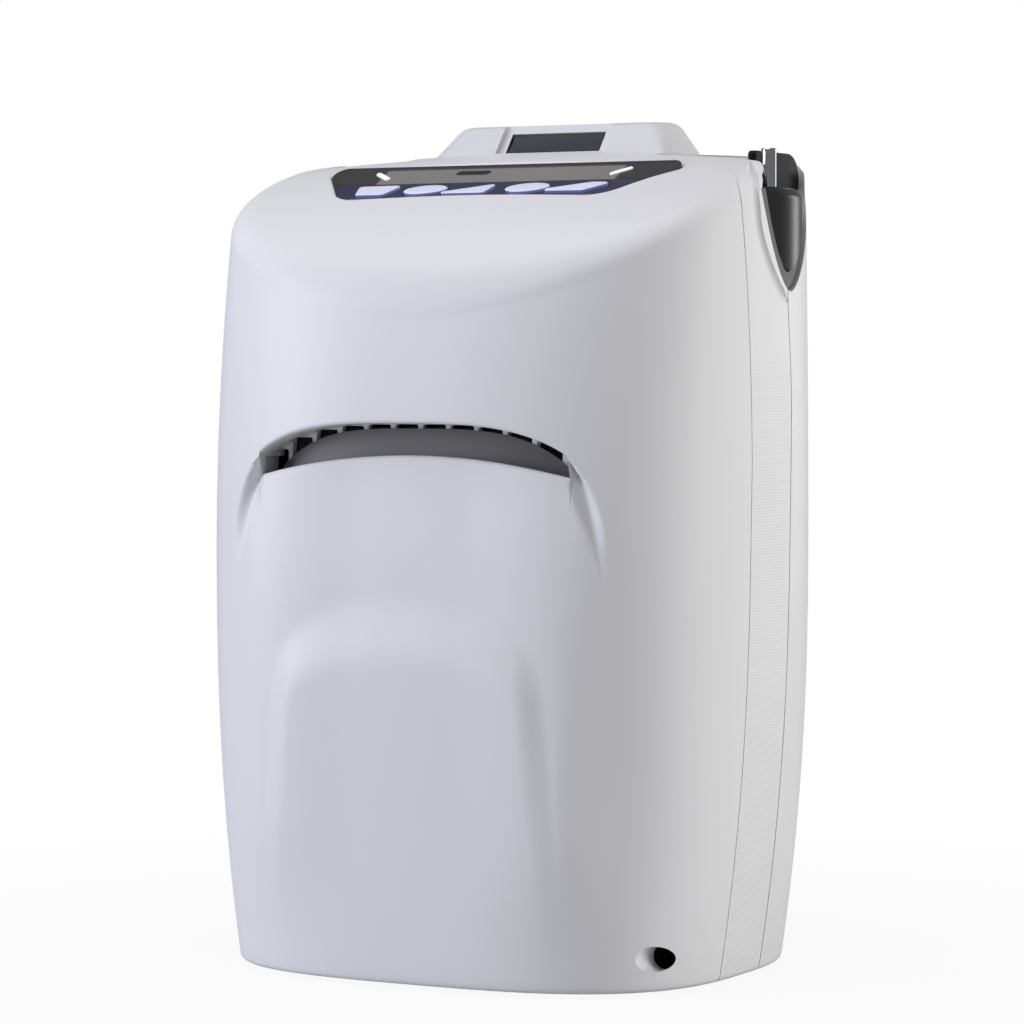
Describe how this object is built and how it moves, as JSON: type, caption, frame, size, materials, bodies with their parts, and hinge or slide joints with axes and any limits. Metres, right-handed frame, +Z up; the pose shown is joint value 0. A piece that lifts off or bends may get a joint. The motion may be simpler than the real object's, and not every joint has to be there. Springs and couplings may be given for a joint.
{
  "type": "portable oxygen concentrator",
  "caption": "White upright portable oxygen concentrator with hooded air vent, sloped key panel, raised display, side oxygen outlet, power inlet and a lift-out battery.",
  "frame": {"origin": "middle of the base on the table, under the centre of the case", "axes": "+X to the device's right seen from the front, +Y to the rear, +Z up"},
  "size_m": [0.212, 0.1676, 0.313],
  "materials": {
    "white_shell": "satin white ABS",
    "white_key": "white rubberised key",
    "navy_panel": "dark navy overlay",
    "grey_trim": "grey moulded trim",
    "dark_trim": "dark grey satin moulding",
    "black_plastic": "black moulding",
    "window": "dark glossy window",
    "light_bar": "clear white light guide",
    "bright_metal": "bright plated tube",
    "screw_steel": "plain steel",
    "rubber_black": "black rubber",
    "foam_black": "open-cell foam",
    "chassis_grey": "moulded chassis",
    "board_green": "printed circuit board",
    "alloy": "cast and extruded alloy",
    "motor_black": "black painted steel",
    "tank_white": "blow-moulded tank",
    "hose_grey": "silicone hose"
  },
  "bodies": {
    "case": {"front_cover": "white_shell", "middle_frame": "white_shell", "rear_cover": "white_shell", "base_plate": "black_plastic", "feet": "rubber_black", "base_screws": "screw_steel", "inner_chassis": "chassis_grey", "vent_baffle": "grey_trim", "vent_foam": "foam_black", "key_panel": "navy_panel", "key_bezel": "grey_trim", "keypad_board": "board_green", "status_window": "window", "status_lights": "light_bar", "display_pod": "white_shell", "display_lens": "window", "display_module": "board_green", "bezel_collar": "grey_trim", "side_bezel": "dark_trim", "oxygen_nozzle": "bright_metal", "dc_inlet": "dark_trim", "battery_contacts": "black_plastic", "compressor_body": "alloy", "compressor_heads": "alloy", "compressor_motor": "motor_black", "isolators": "rubber_black", "sieve_columns": "alloy", "column_caps": "black_plastic", "valve_manifold": "alloy", "solenoid_valves": "black_plastic", "product_tank": "tank_white", "intake_muffler": "black_plastic", "feed_hoses": "hose_grey", "product_hose": "hose_grey", "fan_frame": "black_plastic", "main_board": "board_green", "intake_filter": "foam_black"},
    "key_power": {"key_power": "white_key"},
    "key_down": {"key_down": "white_key"},
    "key_up": {"key_up": "white_key"},
    "key_mode": {"key_mode": "white_key"},
    "key_mute": {"key_mute": "white_key"},
    "battery": {"battery_pack": "black_plastic", "battery_cap": "black_plastic"},
    "bay_plug": {"bay_plug": "chassis_grey"},
    "filter_cover": {"filter_cover": "white_shell"},
    "fan_rotor": {"fan_rotor": "chassis_grey"}
  },
  "joints": [
    {"name": "key_power_press", "type": "slide", "parent": "case", "child": "key_power", "axis": [0, 0.309, -0.9511], "range_m": [0, 0.0008], "stiffness_N_per_m": 1200, "springref_m": -0.0004},
    {"name": "key_down_press", "type": "slide", "parent": "case", "child": "key_down", "axis": [0, 0.309, -0.9511], "range_m": [0, 0.0008], "stiffness_N_per_m": 1200, "springref_m": -0.0004},
    {"name": "key_up_press", "type": "slide", "parent": "case", "child": "key_up", "axis": [0, 0.309, -0.9511], "range_m": [0, 0.0008], "stiffness_N_per_m": 1200, "springref_m": -0.0004},
    {"name": "key_mode_press", "type": "slide", "parent": "case", "child": "key_mode", "axis": [0, 0.309, -0.9511], "range_m": [0, 0.0008], "stiffness_N_per_m": 1200, "springref_m": -0.0004},
    {"name": "key_mute_press", "type": "slide", "parent": "case", "child": "key_mute", "axis": [0, 0.309, -0.9511], "range_m": [0, 0.0008], "stiffness_N_per_m": 1200, "springref_m": -0.0004},
    {"name": "battery_lift", "type": "slide", "parent": "case", "child": "battery", "axis": [0, 0, 1], "range_m": [0, 0.22]},
    {"name": "bay_plug_lift", "type": "slide", "parent": "case", "child": "bay_plug", "axis": [0, 0, 1], "range_m": [0, 0.04]},
    {"name": "filter_cover_pull", "type": "slide", "parent": "case", "child": "filter_cover", "axis": [0, 1, 0], "range_m": [0, 0.03]},
    {"name": "fan_spin", "type": "hinge", "parent": "case", "child": "fan_rotor", "pos_m": [0, -0.05514, 0.206], "axis": [0, 1, 0], "continuous": true}
  ]
}
